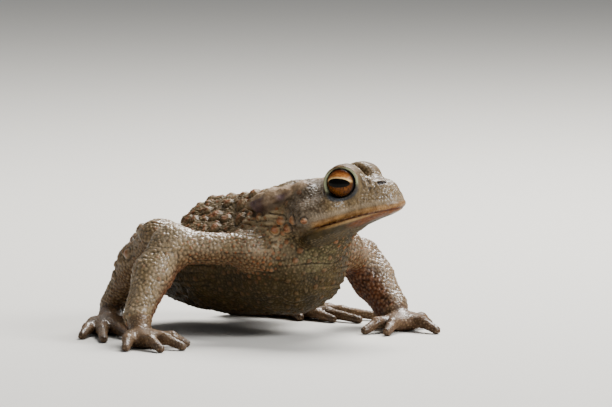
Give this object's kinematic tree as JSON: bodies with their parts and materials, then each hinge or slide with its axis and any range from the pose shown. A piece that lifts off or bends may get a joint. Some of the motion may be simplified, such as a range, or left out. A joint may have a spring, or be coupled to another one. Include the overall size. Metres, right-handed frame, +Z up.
{
  "type": "common toad",
  "caption": "Life-size common toad sitting up on spread forelegs, hind legs folded, with its head raised and turned to its left.",
  "frame": {"origin": "middle of the bounding box on the floor", "axes": "+X the way the trunk faces, +Y the toad's left, +Z up"},
  "size_m": [0.0754, 0.0923, 0.0426],
  "materials": {
    "body_skin": "moist satin, warty",
    "head_skin": "moist satin, warty",
    "throat_skin": "moist satin, warty",
    "limb_skin": "moist satin, warty",
    "digit_skin": "moist satin, warty",
    "eye": "wet gloss, copper iris round a level black pupil"
  },
  "bodies": {
    "root": {"torso": "body_skin", "head": "head_skin", "lower_jaw": "throat_skin", "upper_arm_right": "limb_skin", "upper_arm_left": "limb_skin", "forearm_right": "limb_skin", "forearm_left": "limb_skin", "hand_right": "digit_skin", "hand_left": "digit_skin", "thigh_right": "limb_skin", "thigh_left": "limb_skin", "shank_right": "limb_skin", "shank_left": "limb_skin", "foot_right": "digit_skin", "foot_left": "digit_skin", "eye_right": "eye", "eye_left": "eye"}
  },
  "joints": []
}
